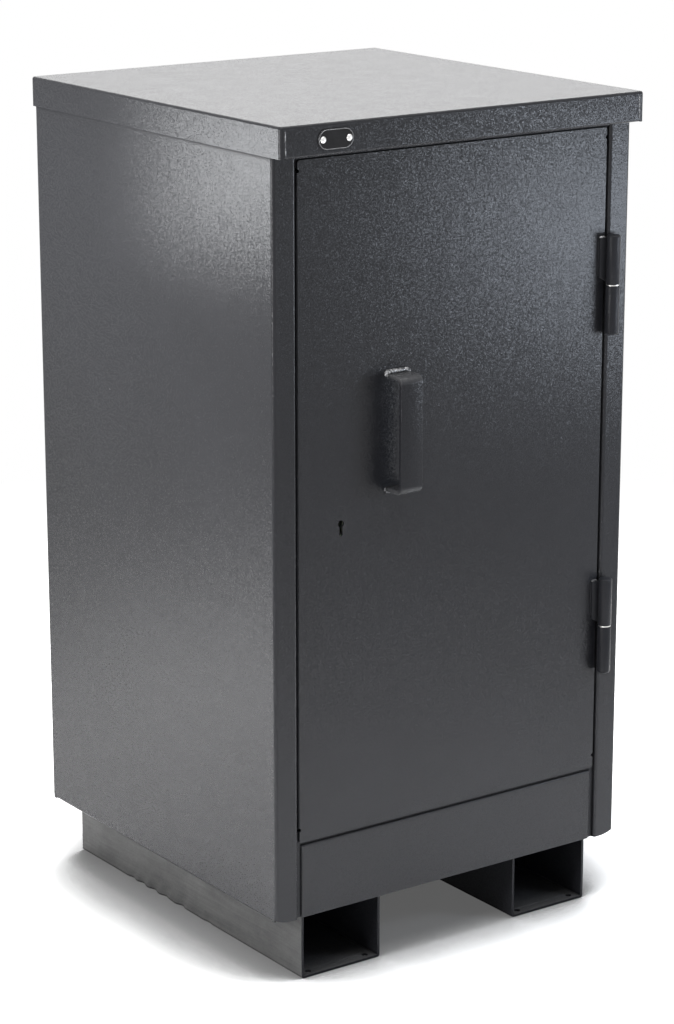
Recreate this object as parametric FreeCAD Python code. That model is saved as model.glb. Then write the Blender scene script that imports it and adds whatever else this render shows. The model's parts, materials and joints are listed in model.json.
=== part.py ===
# Steel site storage cabinet: a folded carcass on two fork skids, with one locked door.
# Millimetres. The front faces -Y, +X is to the right seen from the front, +Z is up.
# The origin is on the ground, under the middle of the cabinet's outline.
import FreeCAD, Part
import math
import os

# Carcass
overall_height = 980.0
carcass_width = 495.0
carcass_depth = 496.0
carcass_underside = 80.0
body_sheet = 2.0
corner_bend = 4.0
flange_bend = 3.0
rear_flange = 20.0
bottom_flange = 22.0
top_flange = 15.0
flange_corner_notch = 8.0
panel_fit = 1.0
back_top_flange = 18.0
floor_rear_upturn = 22.0

# Door frame: two stiles, a header above the door and a plinth below it
stile_width = 30.0
stile_return = 30.0
stile_bend = 3.5
stile_toe_rise = 5.0
stile_toe_length = 22.0
panel_recess = 2.0
panel_joggle = 3.0
pad_edge_radius = 2.5
header_height = 36.0
header_lip = 11.0
header_top_flange = 22.0
plinth_height = 87.0
plinth_drop = 2.0
plinth_lip = 16.0
plinth_end_groove = 6.5

# Cap
cap_sheet = 2.0
cap_fit = 0.5
cap_front_overhang = 19.0
cap_flange = 34.5
cap_front_return = 12.0
cap_corner_radius = 4.0
cap_edge_radius = 3.0

# Key tag riveted to the cap
tag_length = 45.5
tag_width = 22.0
tag_thickness = 1.2
tag_from_left = 71.0
tag_below_top = 17.7
rivet_pitch = 34.0
rivet_head_diameter = 7.5
rivet_head_height = 1.4
rivet_shank_diameter = 4.0
rivet_tail_length = 2.0

# Skids
skid_width = 110.0
skid_sheet = 3.0
skid_bend = 3.5
skid_inset = 39.5
skid_nose_gap = 0.5
skid_rear_setback = 2.5
sole_hole_diameter = 7.5
sole_hole_from_side = 15.0
sole_hole_from_end = 8.5

# Door
door_side_gap = 2.5
door_head_gap = 2.5
door_foot_gap = 3.5
door_sheet = 2.0
door_bend = 3.0
door_return = 24.0
door_return_lip = 12.0
return_end_gap = 3.0
relief_radius = 2.2
corner_tab_inset = 1.0
corner_tab_radius = 3.0

# Hat-section stiffeners inside the door, behind the hinges
stiffener_sheet = 1.5
stiffener_bend = 3.0
stiffener_depth = 16.0
stiffener_crown = 40.0
stiffener_foot = 16.0
stiffener_end_gap = 3.0

# Handle, a bent flat bar
handle_from_left = 118.0
handle_from_bottom = 391.5
handle_height = 134.0
handle_projection = 30.0
handle_width = 30.0
handle_thickness = 5.0
handle_bend = 9.0

# Weld-on lift-off hinges
hinge_from_door_end = 180.5
hinge_length = 116.0
hinge_axis_from_stile = 1.5
knuckle_diameter = 16.0
knuckle_gap = 0.3
washer_thickness = 1.2
washer_diameter = 15.0
washer_fit = 0.1
pin_diameter = 8.0
pin_fit = 0.05
pin_in_frame_half = 40.0
pin_in_door_half = 30.0
pin_end_gap = 1.0
leaf_reach = 14.0
leaf_thickness = 4.0
leaf_end_inset = 4.0
leaf_toe = 8.0
leaf_joggle_from_stile = 1.5

# Lock
keyhole_from_left = 58.0
keyhole_from_bottom = 363.5
keyhole_radius = 4.0
keyhole_slot_width = 4.5
keyhole_slot_drop = 14.5
lock_length = 76.0
lock_height = 110.0
lock_depth = 14.0
lock_wall = 2.0
lock_cap_sheet = 2.0
lock_below_keyhole = 55.0
bolt_above_keyhole = 20.0
bolt_height = 28.0
bolt_thickness = 9.0
bolt_head_length = 26.0
bolt_throw = 15.0
bolt_fit = 0.3
slot_margin = 1.0
bolt_set_back = 1.0
bolt_tail_height = 20.0
bolt_tail_thickness = 4.0
bolt_tail_length = 48.0
talon_radius = 6.0
guide_post_diameter = 5.0
guide_post_from_head = 8.0
stud_diameter = 5.0
stud_fit = 0.3
stud_from_lock_end = 7.0
stud_from_door_edge = 20.0
stud_from_lock_side = 6.0
stud_past_nut = 2.0
nut_sides = 6
nut_across_flats = 8.0
nut_thickness = 4.0
nut_fit = 0.1
keep_sheet = 3.0
keep_height = 100.0
keep_edge_gap = 1.0

# Shelves
lower_shelf_top = 368.0
upper_shelf_top = 655.0
shelf_sheet = 1.5
shelf_bend = 2.5
shelf_lip = 25.0
shelf_lip_return = 10.0
shelf_side_gap = 1.0
shelf_front_gap = 10.0
shelf_rear_gap = 3.0
support_leg = 20.0
support_sheet = 2.0
support_bend = 3.0
support_end_gap = 4.0

# Room that a cutting tool has past the sheet it cuts
cut_past = 1.0

# How near two places are to count as one, and how steep an edge is to count as upright
same_place = 1e-4
upright_share = 0.999

V = FreeCAD.Vector

# Planes of the carcass, from its front to its back
overall_depth = carcass_depth + cap_fit + cap_sheet + handle_projection - panel_recess
carcass_back = overall_depth / 2 - cap_fit - cap_sheet
carcass_front = carcass_back - carcass_depth
panel_face = carcass_front + panel_recess
panel_inside = panel_face + door_sheet
stop_face = panel_face + panel_joggle
stop_inside = stop_face + body_sheet
stile_inside = carcass_front + stile_return
back_panel_back = carcass_back - body_sheet
back_panel_front = back_panel_back - body_sheet

# Planes from the middle to the side
half_width = carcass_width / 2
side_inside = half_width - body_sheet
frame_half_opening = half_width - stile_width
door_half_width = frame_half_opening - door_side_gap
cap_half_width = half_width + cap_fit + cap_sheet

# Levels
cap_foot = overall_height - cap_flange
cap_underside = overall_height - cap_sheet
header_foot = cap_underside - header_height
plinth_foot = carcass_underside - plinth_drop
plinth_head = plinth_foot + plinth_height
floor_underside = carcass_underside + body_sheet
door_head = header_foot - door_head_gap
door_foot = plinth_head + door_foot_gap
return_head = header_foot - header_lip - return_end_gap
return_foot = plinth_head + plinth_lip + return_end_gap

# Hinges
hinge_x = frame_half_opening + hinge_axis_from_stile
hinge_y = carcass_front - knuckle_gap - knuckle_diameter / 2
knuckle_back = carcass_front - knuckle_gap
seam_half_gap = (washer_thickness + washer_fit) / 2
hinge_seams = {
    "upper": door_head - hinge_from_door_end,
    "lower": door_foot + hinge_from_door_end,
}

# Lock
keyhole_x = keyhole_from_left - door_half_width
keyhole_z = door_foot + keyhole_from_bottom
door_edge_inside = door_sheet - door_half_width
lock_left = door_edge_inside + door_bend - door_sheet
lock_right = lock_left + lock_length
lock_foot = keyhole_z - lock_below_keyhole
lock_head = lock_foot + lock_height
lock_back = panel_inside + lock_depth
lock_front_inside = panel_inside + lock_wall
bolt_y = (lock_front_inside + lock_back) / 2
bolt_z = keyhole_z + bolt_above_keyhole
bolt_end = bolt_set_back - door_half_width
bolt_shoulder = bolt_end + bolt_head_length
guide_post_x = bolt_shoulder + guide_post_from_head
stud_places = [
    (stud_from_door_edge - door_half_width, lock_foot + stud_from_lock_side),
    (lock_right - stud_from_lock_end, lock_head - stud_from_lock_side),
]

# Shelves
shelf_front = stile_inside + shelf_front_gap
shelf_back = back_panel_front - shelf_rear_gap


def block(x0, x1, y0, y1, z0, z1):
    """A rectangular block between two opposite corners."""
    return Part.makeBox(x1 - x0, y1 - y0, z1 - z0, V(x0, y0, z0))


def rod(radius, start, direction, length):
    """A round bar from a start point along a direction."""
    return Part.makeCylinder(radius, length, start, direction)


def one_solid(shape):
    """The shape with its coplanar faces merged, as a bare solid."""
    merged = shape.removeSplitter()
    return merged.Solids[0] if len(merged.Solids) == 1 else merged


def join(first, *others):
    """Several solids fused into one."""
    return one_solid(first.fuse(list(others)))


def cut(shape, *tools):
    """A solid with every tool taken out of it."""
    return one_solid(shape.cut(list(tools)))


def mirrored(shape):
    """The same piece on the other side of the cabinet's middle plane."""
    return shape.mirror(V(0, 0, 0), V(1, 0, 0))


def in_plane(plane, point, along):
    """A flat point (a, b) put into the XY, XZ or YZ plane, at a distance along its normal."""
    if plane == "XY":
        return V(point.x, point.y, along)
    if plane == "XZ":
        return V(point.x, along, point.y)
    return V(along, point.x, point.y)


def normal_of(plane):
    """The direction in which a profile in this plane is extruded."""
    return in_plane(plane, V(0, 0, 0), 1)


def rounded_path(corners, radii):
    """Steps through the corners: two points make a line, and three points an arc at a corner."""
    steps = []
    start = corners[0]
    for before, here, after, radius in zip(corners, corners[1:], corners[2:], radii):
        back = (before - here).normalize()
        ahead = (after - here).normalize()
        half_angle = back.getAngle(ahead) / 2
        to_centre = (back + ahead).normalize()
        reach = radius / math.tan(half_angle)
        middle = here + to_centre * (radius / math.sin(half_angle) - radius)
        steps.append([start, here + back * reach])
        steps.append([here + back * reach, middle, here + ahead * reach])
        start = here + ahead * reach
    steps.append([start, corners[-1]])
    return steps


def beside(corners, distance):
    """The corners of the line that runs to the left of this one, at a distance."""
    runs = [(after - here).normalize() for here, after in zip(corners, corners[1:])]
    lefts = [V(-run.y, run.x, 0) * distance for run in runs]
    points = [corners[0] + lefts[0]]
    for here, run, left, next_left in zip(corners[1:], runs, lefts, lefts[1:]):
        crossing = (next_left - left).dot(next_left) / run.dot(next_left)
        points.append(here + left + run * crossing)
    points.append(corners[-1] + lefts[-1])
    return points


def prism(plane, steps, start, length):
    """The closed outline of line and arc steps, extruded along the plane's normal."""
    edges = []
    for step in steps:
        points = [in_plane(plane, point, start) for point in step]
        if points[0].distanceToPoint(points[-1]) < same_place:
            continue
        edges.append(Part.Arc(*points).toShape() if len(points) == 3 else Part.makeLine(*points))
    outline = Part.Face(Part.Wire(edges))
    return outline.extrude(normal_of(plane) * length)


def polygon_prism(plane, points, start, length):
    """A straight-sided outline extruded along the plane's normal."""
    corners = [V(a, b, 0) for a, b in points]
    return prism(plane, list(zip(corners, corners[1:] + corners[:1])), start, length)


def rounded_prism(plane, low, high, radius, start, length):
    """A rectangle with rounded corners, extruded along the plane's normal."""
    (a0, b0), (a1, b1) = low, high
    middle = V((a0 + a1) / 2, b0, 0)
    corners = [middle, V(a1, b0, 0), V(a1, b1, 0), V(a0, b1, 0), V(a0, b0, 0), middle]
    return prism(plane, rounded_path(corners, [radius] * 4), start, length)


def oval_prism(left, right, level, radius, start, length):
    """An oval with half-round ends, seen from the front, extruded along Y."""
    left_middle = V(left + radius, level, 0)
    right_middle = V(right - radius, level, 0)
    up = V(0, radius, 0)
    out = V(radius, 0, 0)
    outline = [
        [left_middle - up, right_middle - up],
        [right_middle - up, right_middle + out, right_middle + up],
        [right_middle + up, left_middle + up],
        [left_middle + up, left_middle - out, left_middle - up],
    ]
    return prism("XZ", outline, start, length)


def folded_sheet(plane, face, bends, sheet, start, length):
    """A folded sheet. The face line's corners are given, and the metal lies to its left.

    A negative sheet thickness puts the metal to the right. Each bend is the outer radius.
    """
    face_line = [V(a, b, 0) for a, b in face]
    other_line = beside(face_line, sheet)
    face_radii = []
    other_radii = []
    for before, here, after, bend in zip(face_line, face_line[1:], face_line[2:], bends):
        turn = (here - before).cross(after - here).z
        metal_is_inside = turn * sheet > 0
        face_radii.append(bend if metal_is_inside else bend - abs(sheet))
        other_radii.append(bend - abs(sheet) if metal_is_inside else bend)
    there = rounded_path(face_line, face_radii)
    back = [step[::-1] for step in reversed(rounded_path(other_line, other_radii))]
    far_end = [face_line[-1], other_line[-1]]
    near_end = [other_line[0], face_line[0]]
    return prism(plane, there + [far_end] + back + [near_end], start, length)


def upright_edges(shape):
    """The straight edges that run along Z."""
    return [edge for edge in shape.Edges
            if len(edge.Vertexes) == 2
            and abs(edge.tangentAt(edge.FirstParameter).z) > upright_share]


def edges_at_level(shape, z):
    """The edges that lie in the level plane z."""
    return [edge for edge in shape.Edges
            if abs(edge.BoundBox.ZMin - z) < same_place
            and abs(edge.BoundBox.ZMax - z) < same_place]


def side_panel():
    """The right side: stile, side wall and rear flange in one sheet, flanged at both ends."""
    panel = folded_sheet(
        "XY",
        [(frame_half_opening, stile_inside), (frame_half_opening, carcass_front),
         (half_width, carcass_front), (half_width, carcass_back),
         (half_width - rear_flange, carcass_back)],
        [stile_bend, corner_bend, corner_bend],
        body_sheet, plinth_foot, cap_underside - cap_edge_radius + cap_sheet - plinth_foot)
    behind_stile = carcass_front + corner_bend
    below_side = block(
        half_width - bottom_flange, half_width + cut_past,
        behind_stile, carcass_back + cut_past, plinth_foot - cut_past, carcass_underside)
    panel = cut(panel, below_side, stile_toe())
    flange_start = carcass_front + flange_corner_notch
    flange_run = carcass_back - flange_corner_notch - flange_start
    fold_height = flange_bend + body_sheet
    foot_fold = block(
        side_inside - cut_past, half_width + cut_past, flange_start, flange_start + flange_run,
        carcass_underside - cut_past, carcass_underside + fold_height)
    head_fold = block(
        side_inside - cut_past, half_width + cut_past, flange_start, flange_start + flange_run,
        cap_underside - fold_height, cap_underside + cut_past)
    foot_flange = folded_sheet(
        "XZ",
        [(half_width, carcass_underside + fold_height), (half_width, carcass_underside),
         (half_width - bottom_flange, carcass_underside)],
        [flange_bend], -body_sheet, flange_start, flange_run)
    head_flange = folded_sheet(
        "XZ",
        [(half_width, cap_underside - fold_height), (half_width, cap_underside),
         (half_width - top_flange, cap_underside)],
        [flange_bend], body_sheet, flange_start, flange_run)
    return join(cut(panel, foot_fold, head_fold), foot_flange, head_flange)


def stile_toe():
    """The tool that takes the curve off the outer toe of the right stile."""
    radius = (stile_toe_length ** 2 + stile_toe_rise ** 2) / (2 * stile_toe_rise)
    tangent_x = half_width - stile_toe_length
    half_turn = math.asin(stile_toe_length / radius) / 2
    start = V(tangent_x, plinth_foot, 0)
    middle = start + V(radius * math.sin(half_turn), radius * (1 - math.cos(half_turn)), 0)
    end = start + V(stile_toe_length, stile_toe_rise, 0)
    beyond = half_width + cut_past
    below = plinth_foot - cut_past
    outline = [
        [start, middle, end],
        [end, V(beyond, end.y, 0)],
        [V(beyond, end.y, 0), V(beyond, below, 0)],
        [V(beyond, below, 0), V(tangent_x, below, 0)],
        [V(tangent_x, below, 0), start],
    ]
    return prism("XZ", outline, carcass_front - cut_past, corner_bend + cut_past)


def bolt_opening(x0, x1):
    """The tool for the slot that the lock bolt passes through."""
    half_thickness = bolt_thickness / 2 + slot_margin
    half_height = bolt_height / 2 + slot_margin
    return block(x0, x1, bolt_y - half_thickness, bolt_y + half_thickness,
                 bolt_z - half_height, bolt_z + half_height)


def left_side_panel():
    """The left side, with the slot for the bolt in the stile's return."""
    slot = bolt_opening(-frame_half_opening - body_sheet - cut_past, cut_past - frame_half_opening)
    return cut(mirrored(side_panel()), slot)


def back_panel():
    """The back, set inside the rear flanges, with its top edge folded forward under the cap."""
    reach = half_width - corner_bend - cap_fit
    panel = folded_sheet(
        "YZ",
        [(back_panel_back, floor_underside), (back_panel_back, cap_underside),
         (back_panel_back - back_top_flange, cap_underside)],
        [flange_bend], body_sheet, -reach, 2 * reach)
    flange_reach = half_width - top_flange - panel_fit
    corner = block(
        flange_reach, reach + cut_past, back_panel_back - back_top_flange - cut_past,
        back_panel_front, cap_underside - flange_bend, cap_underside + cut_past)
    return cut(panel, corner, mirrored(corner))


def floor_panel():
    """The floor, on the side flanges, notched round the stiles and turned up at the back."""
    reach = side_inside - panel_fit
    panel = folded_sheet(
        "YZ",
        [(stop_inside + panel_fit, floor_underside), (back_panel_front, floor_underside),
         (back_panel_front, floor_underside + floor_rear_upturn)],
        [flange_bend], body_sheet, -reach, 2 * reach)
    notch = block(
        frame_half_opening - panel_fit, reach + cut_past, carcass_front,
        stile_inside + panel_fit, floor_underside - cut_past,
        floor_underside + body_sheet + cut_past)
    return cut(panel, notch, mirrored(notch))


def header_panel():
    """The panel above the door: top flange, face, and a lip set back behind the door's head."""
    return folded_sheet(
        "YZ",
        [(panel_face + header_top_flange, cap_underside), (panel_face, cap_underside),
         (panel_face, header_foot), (stop_face, header_foot - panel_joggle),
         (stop_face, header_foot - header_lip)],
        [flange_bend, pad_edge_radius, pad_edge_radius], body_sheet,
        -frame_half_opening, 2 * frame_half_opening)


def plinth_panel():
    """The panel below the door: a pad pressed forward from a border that stops the door."""
    pad_reach = frame_half_opening - plinth_end_groove
    border = block(
        -frame_half_opening, frame_half_opening, stop_face, stop_inside,
        plinth_foot, plinth_head + plinth_lip)
    pad = block(-pad_reach, pad_reach, panel_face, stop_inside, plinth_foot, plinth_head)
    front_edges = [
        edge for edge in pad.Edges
        if abs(edge.BoundBox.YMax - panel_face) < same_place
        and edge.BoundBox.ZMax > plinth_head - same_place
    ]
    pad = pad.makeFillet(pad_edge_radius, front_edges)
    hollow = block(
        body_sheet - pad_reach, pad_reach - body_sheet, panel_face + body_sheet,
        stop_inside + cut_past, plinth_foot - cut_past, plinth_head - body_sheet)
    return cut(join(border, pad), hollow)


def cap_lid():
    """The lid: flanged on all four sides, with the front flange turned in at its foot."""
    outer = block(-cap_half_width, cap_half_width, cap_front(), cap_back(), cap_foot, overall_height)
    outer = outer.makeFillet(cap_corner_radius, upright_edges(outer))
    outer = outer.makeFillet(cap_edge_radius, edges_at_level(outer, overall_height))
    inner = block(
        cap_sheet - cap_half_width, cap_half_width - cap_sheet, cap_front() + cap_sheet,
        cap_back() - cap_sheet, cap_foot - cut_past, cap_underside)
    inner = inner.makeFillet(cap_corner_radius - cap_sheet, upright_edges(inner))
    inner = inner.makeChamfer(cap_edge_radius - cap_sheet, edges_at_level(inner, cap_underside))
    shell = cut(outer, inner)
    hem_reach = cap_half_width - cap_corner_radius - panel_fit
    fold_height = cap_edge_radius + cap_sheet
    front_foot = block(
        -hem_reach, hem_reach, cap_front() - cut_past, cap_front() + cap_sheet + cut_past,
        cap_foot - cut_past, cap_foot + fold_height)
    hem = folded_sheet(
        "YZ",
        [(cap_front(), cap_foot + fold_height), (cap_front(), cap_foot),
         (cap_front() + cap_front_return, cap_foot)],
        [cap_edge_radius], cap_sheet, -hem_reach, 2 * hem_reach)
    holes = [
        rod(rivet_shank_diameter / 2, V(x, cap_front() - cut_past, tag_z()), V(0, 1, 0),
            cap_sheet + 2 * cut_past)
        for x in rivet_places()
    ]
    return cut(join(cut(shell, front_foot), hem), *holes)


def cap_front():
    """The front face of the cap's front flange."""
    return carcass_front - cap_front_overhang


def cap_back():
    """The rear face of the cap's rear flange."""
    return carcass_back + cap_fit + cap_sheet


def tag_z():
    """The level of the key tag's middle."""
    return overall_height - tag_below_top


def rivet_places():
    """The two rivets' places across the cabinet."""
    middle = tag_from_left - cap_half_width
    return [middle - rivet_pitch / 2, middle + rivet_pitch / 2]


def key_tag():
    """An oval plate with two rivet holes, flat against the cap's front."""
    middle = tag_from_left - cap_half_width
    plate = oval_prism(
        middle - tag_length / 2, middle + tag_length / 2, tag_z(), tag_width / 2,
        cap_front() - tag_thickness, tag_thickness)
    holes = [
        rod(rivet_shank_diameter / 2, V(x, cap_front() - tag_thickness - cut_past, tag_z()),
            V(0, 1, 0), tag_thickness + 2 * cut_past)
        for x in rivet_places()
    ]
    return cut(plate, *holes)


def tag_rivet(x):
    """A rivet: a round head on the tag, and a shank through tag and cap."""
    head_foot = cap_front() - tag_thickness
    tail_end = cap_front() + cap_sheet + rivet_tail_length
    head = rod(rivet_head_diameter / 2, V(x, head_foot, tag_z()), V(0, -1, 0), rivet_head_height)
    shank = rod(rivet_shank_diameter / 2, V(x, head_foot, tag_z()), V(0, 1, 0),
                tail_end - head_foot)
    return join(head, shank)


def skid():
    """The right skid: a channel, open upwards under the floor, with four holes in its sole."""
    outer = half_width - skid_inset
    inner = outer - skid_width
    start = stop_inside + skid_nose_gap
    length = carcass_back - skid_rear_setback - start
    channel = folded_sheet(
        "XZ",
        [(outer, floor_underside), (outer, 0), (inner, 0), (inner, floor_underside)],
        [skid_bend, skid_bend], -skid_sheet, start, length)
    holes = [
        rod(sole_hole_diameter / 2, V(x, y, -cut_past), V(0, 0, 1), skid_sheet + 2 * cut_past)
        for x in (inner + sole_hole_from_side, outer - sole_hole_from_side)
        for y in (start + sole_hole_from_end, start + length - sole_hole_from_end)
    ]
    return cut(channel, *holes)


def shelf(top):
    """A shelf tray: lips turned down front and back, with their feet turned in."""
    reach = side_inside - shelf_side_gap
    foot = top - shelf_lip
    return folded_sheet(
        "YZ",
        [(shelf_front + shelf_lip_return, foot), (shelf_front, foot), (shelf_front, top),
         (shelf_back, top), (shelf_back, foot), (shelf_back - shelf_lip_return, foot)],
        [shelf_bend] * 4, -shelf_sheet, -reach, 2 * reach)


def shelf_support(top):
    """The right angle under a shelf, welded to the side wall."""
    seat = top - shelf_sheet
    start = shelf_front + shelf_sheet + support_end_gap
    end = shelf_back - shelf_sheet - support_end_gap
    return folded_sheet(
        "XZ",
        [(side_inside, seat - support_leg), (side_inside, seat), (side_inside - support_leg, seat)],
        [support_bend], support_sheet, start, end - start)


def keyhole(start, length):
    """The tool for the keyhole: a round hole with a slot below it."""
    half_slot = keyhole_slot_width / 2
    slot_foot = keyhole_z - keyhole_slot_drop
    round_hole = rod(keyhole_radius, V(keyhole_x, start, keyhole_z), V(0, 1, 0), length)
    slot = block(keyhole_x - half_slot, keyhole_x + half_slot, start, start + length,
                 slot_foot + half_slot, keyhole_z)
    slot_end = rod(half_slot, V(keyhole_x, start, slot_foot + half_slot), V(0, 1, 0), length)
    return join(round_hole, slot, slot_end)


def door_skin():
    """The door: folded side edges, flat ends that overlap the frame, and the lock's studs."""
    lip_line = panel_face + door_return
    tray = folded_sheet(
        "XY",
        [(door_half_width - door_return_lip, lip_line), (door_half_width, lip_line),
         (door_half_width, panel_face), (-door_half_width, panel_face),
         (-door_half_width, lip_line), (door_return_lip - door_half_width, lip_line)],
        [door_bend] * 4, -door_sheet, return_foot, return_head - return_foot)
    tab_reach = door_half_width - corner_tab_inset
    plate = rounded_prism(
        "XZ", (-tab_reach, door_foot), (tab_reach, door_head), corner_tab_radius,
        panel_face, door_sheet)
    reliefs = [
        rod(relief_radius, V(x, panel_face - cut_past, z), V(0, 1, 0), door_sheet + door_bend)
        for x in (-tab_reach, tab_reach)
        for z in (return_foot, return_head)
    ]
    studs = [
        rod(stud_diameter / 2, V(x, panel_inside, z), V(0, 1, 0), stud_length())
        for x, z in stud_places
    ]
    shell = join(cut(join(tray, plate), *reliefs), *studs)
    bolt_slot = bolt_opening(-door_half_width - cut_past, door_edge_inside + cut_past)
    return cut(shell, bolt_slot, keyhole(panel_face - cut_past, door_sheet + 2 * cut_past))


def stud_length():
    """How far the lock's studs stand from the back of the door skin."""
    return lock_depth + lock_cap_sheet + nut_thickness + stud_past_nut


def door_stiffener(level):
    """A hat section across the back of the door skin."""
    reach = door_half_width - door_sheet - stiffener_end_gap
    half_crown = stiffener_crown / 2
    half_height = half_crown + stiffener_foot
    crown = panel_inside + stiffener_depth
    return folded_sheet(
        "YZ",
        [(panel_inside, level - half_height), (panel_inside, level - half_crown),
         (crown, level - half_crown), (crown, level + half_crown),
         (panel_inside, level + half_crown), (panel_inside, level + half_height)],
        [stiffener_bend] * 4, -stiffener_sheet, -reach, 2 * reach)


def door_handle():
    """A flat bar bent twice, standing on the door's face."""
    foot = door_foot + handle_from_bottom
    head = foot + handle_height
    grip = panel_face - handle_projection
    left = handle_from_left - door_half_width
    return folded_sheet(
        "YZ", [(panel_face, foot), (grip, foot), (grip, head), (panel_face, head)],
        [handle_bend] * 2, -handle_thickness, left, handle_width)


def knuckle(base, direction, bore_radius, bore_depth, leaf):
    """Half a hinge barrel with its leaf, bored from its base at the seam."""
    length = hinge_length / 2 - seam_half_gap
    start = V(hinge_x, hinge_y, base)
    barrel = rod(knuckle_diameter / 2, start, direction, length)
    bore = rod(bore_radius, start - direction * cut_past, direction, bore_depth + cut_past)
    return cut(join(barrel, leaf), bore)


def leaf_outline(base, direction, side):
    """A leaf seen from the front: its seam end slopes from the barrel to the leaf's edge."""
    length = hinge_length / 2 - seam_half_gap
    edge = hinge_x + side * leaf_reach
    toe = base + direction.z * leaf_toe
    end = base + direction.z * (length - leaf_end_inset)
    return polygon_prism(
        "XZ", [(hinge_x, base), (edge, toe), (edge, end), (hinge_x, end)],
        hinge_y, knuckle_diameter)


def hinge_door_half(seam):
    """The upper half of a hinge, joggled back from its barrel to the door's face."""
    up = V(0, 0, 1)
    base = seam + seam_half_gap
    edge = hinge_x - leaf_reach
    joggle = frame_half_opening - leaf_joggle_from_stile
    section = polygon_prism(
        "XY",
        [(hinge_x, knuckle_back - leaf_thickness), (hinge_x, knuckle_back),
         (joggle, panel_face), (edge, panel_face), (edge, panel_face - leaf_thickness)],
        base, hinge_length / 2)
    leaf = one_solid(section.common(leaf_outline(base, up, -1)))
    bore_depth = pin_in_door_half - seam_half_gap * 2 + pin_end_gap
    return knuckle(base, up, pin_diameter / 2 + pin_fit, bore_depth, leaf)


def hinge_frame_half(seam):
    """The lower half of a hinge, with its leaf flat on the stile."""
    down = V(0, 0, -1)
    base = seam - seam_half_gap
    edge = hinge_x + leaf_reach
    section = block(
        hinge_x, edge, carcass_front - leaf_thickness, carcass_front,
        base - hinge_length / 2, base)
    leaf = one_solid(section.common(leaf_outline(base, down, 1)))
    return knuckle(base, down, pin_diameter / 2, pin_in_frame_half, leaf)


def hinge_pin(seam):
    """The pin, fast in the frame half, that the door drops over."""
    base = seam - seam_half_gap - pin_in_frame_half
    top = seam - seam_half_gap + pin_in_door_half
    return rod(pin_diameter / 2, V(hinge_x, hinge_y, base), V(0, 0, 1), top - base)


def hinge_washer(seam):
    """The ring that the door half turns on."""
    start = V(hinge_x, hinge_y, seam - seam_half_gap)
    up = V(0, 0, 1)
    ring = rod(washer_diameter / 2, start, up, washer_thickness)
    hole = rod(pin_diameter / 2 + pin_fit, start - up * cut_past, up,
               washer_thickness + 2 * cut_past)
    return cut(ring, hole)


def stud_holes(start, length):
    """The tools for the two stud holes through the lock, at opposite corners."""
    return [
        rod(stud_diameter / 2 + stud_fit, V(x, start, z), V(0, 1, 0), length)
        for x, z in stud_places
    ]


def lock_case():
    """The lock's tray: front plate, four walls, and the post that guides the bolt."""
    tray = block(lock_left, lock_right, panel_inside, lock_back, lock_foot, lock_head)
    hollow = block(
        lock_left + lock_wall, lock_right - lock_wall, lock_front_inside, lock_back + cut_past,
        lock_foot + lock_wall, lock_head - lock_wall)
    post = rod(guide_post_diameter / 2, V(guide_post_x, lock_front_inside, bolt_z), V(0, 1, 0),
               lock_back - lock_front_inside)
    mouth = bolt_opening(lock_left - cut_past, lock_left + lock_wall + cut_past)
    key_way = keyhole(panel_inside - cut_past, lock_wall + 2 * cut_past)
    holes = stud_holes(panel_inside - cut_past, lock_depth)
    return join(cut(tray, hollow, mouth, key_way, *holes), post)


def lock_cap():
    """The plate that closes the lock's tray."""
    plate = block(lock_left, lock_right, lock_back, lock_back + lock_cap_sheet,
                  lock_foot, lock_head)
    return cut(plate, *stud_holes(lock_back - cut_past, lock_cap_sheet + 2 * cut_past))


def lock_nuts():
    """A nut on each stud, holding the lock to the door."""
    start = lock_back + lock_cap_sheet
    step = 2 * math.pi / nut_sides
    corner = nut_across_flats / 2 / math.cos(step / 2)
    nuts = []
    for x, z in stud_places:
        points = [
            (x + corner * math.cos(step * side), z + corner * math.sin(step * side))
            for side in range(nut_sides)
        ]
        hexagon = polygon_prism("XZ", points, start, nut_thickness)
        bore = rod(stud_diameter / 2 + nut_fit, V(x, start - cut_past, z), V(0, 1, 0),
                   nut_thickness + 2 * cut_past)
        nuts.append(cut(hexagon, bore))
    return Part.makeCompound(nuts)


def lock_bolt():
    """The dead bolt, drawn back: a thick head, and a thin tail with a guide slot and a talon."""
    half_head = bolt_thickness / 2
    half_tail = bolt_tail_thickness / 2
    tail_foot = bolt_z - bolt_tail_height / 2
    head = block(bolt_end, bolt_shoulder, bolt_y - half_head, bolt_y + half_head,
                 bolt_z - bolt_height / 2, bolt_z + bolt_height / 2)
    tail = block(bolt_shoulder, bolt_shoulder + bolt_tail_length, bolt_y - half_tail,
                 bolt_y + half_tail, tail_foot, tail_foot + bolt_tail_height)
    slot_radius = guide_post_diameter / 2 + bolt_fit
    tool_start = bolt_y - half_tail - cut_past
    tool_length = bolt_tail_thickness + 2 * cut_past
    slot = oval_prism(
        guide_post_x - slot_radius, guide_post_x + bolt_throw + slot_radius, bolt_z,
        slot_radius, tool_start, tool_length)
    talon = rod(talon_radius, V(keyhole_x + bolt_throw / 2, tool_start, tail_foot),
                V(0, 1, 0), tool_length)
    return cut(join(head, tail), slot, talon)


def bolt_keep():
    """The thick plate behind the left stile's return that takes the bolt."""
    front = carcass_front + stile_bend + keep_edge_gap
    back = stile_inside - keep_edge_gap
    inside = -frame_half_opening - body_sheet
    plate = block(inside - keep_sheet, inside, front, back,
                  bolt_z - keep_height / 2, bolt_z + keep_height / 2)
    return cut(plate, bolt_opening(inside - keep_sheet - cut_past, inside + cut_past))


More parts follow.
